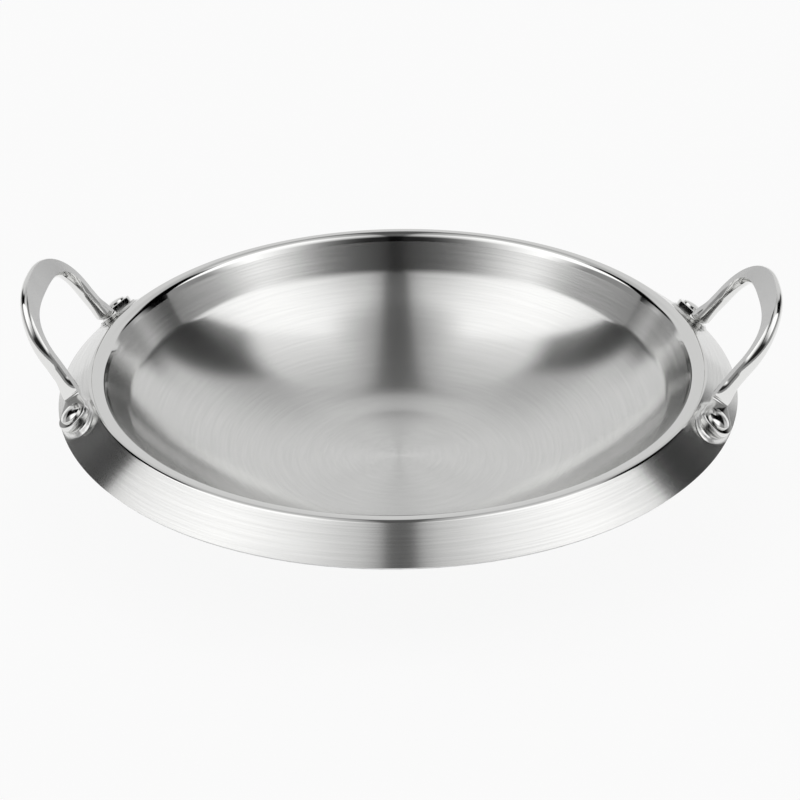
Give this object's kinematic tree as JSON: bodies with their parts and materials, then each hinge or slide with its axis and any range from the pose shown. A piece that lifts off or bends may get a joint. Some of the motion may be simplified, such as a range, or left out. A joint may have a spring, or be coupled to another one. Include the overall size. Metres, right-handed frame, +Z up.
{
  "type": "jeongol pan",
  "caption": "Wide shallow pan for table cooking: a deep round bowl inside a polished rolled rim and a sloping skirt, with two upright loop handles riveted to the skirt.",
  "frame": {"origin": "centre of the underside of the flat base, where the pan rests", "axes": "+Z up along the bowl's axis; the two handles stand on the +X and -X sides; -Y is the front seen in the picture"},
  "size_m": [0.364, 0.3328, 0.1039],
  "materials": {
    "brushed_stainless": "brushed round the pan's axis, polished on the rim",
    "core_aluminium": "plain, seen only as a line in the cut edge",
    "outer_stainless": "brushed",
    "polished_stainless": "mirror-polished stainless steel, satin on the flat upper face",
    "rivet_stainless": "mirror-polished stainless steel"
  },
  "bodies": {
    "root": {"inner_ply": "brushed_stainless", "aluminium_core": "core_aluminium", "outer_ply": "outer_stainless", "right_handle": "polished_stainless", "left_handle": "polished_stainless", "right_rear_rivet": "rivet_stainless", "right_front_rivet": "rivet_stainless", "left_front_rivet": "rivet_stainless", "left_rear_rivet": "rivet_stainless"}
  },
  "joints": []
}
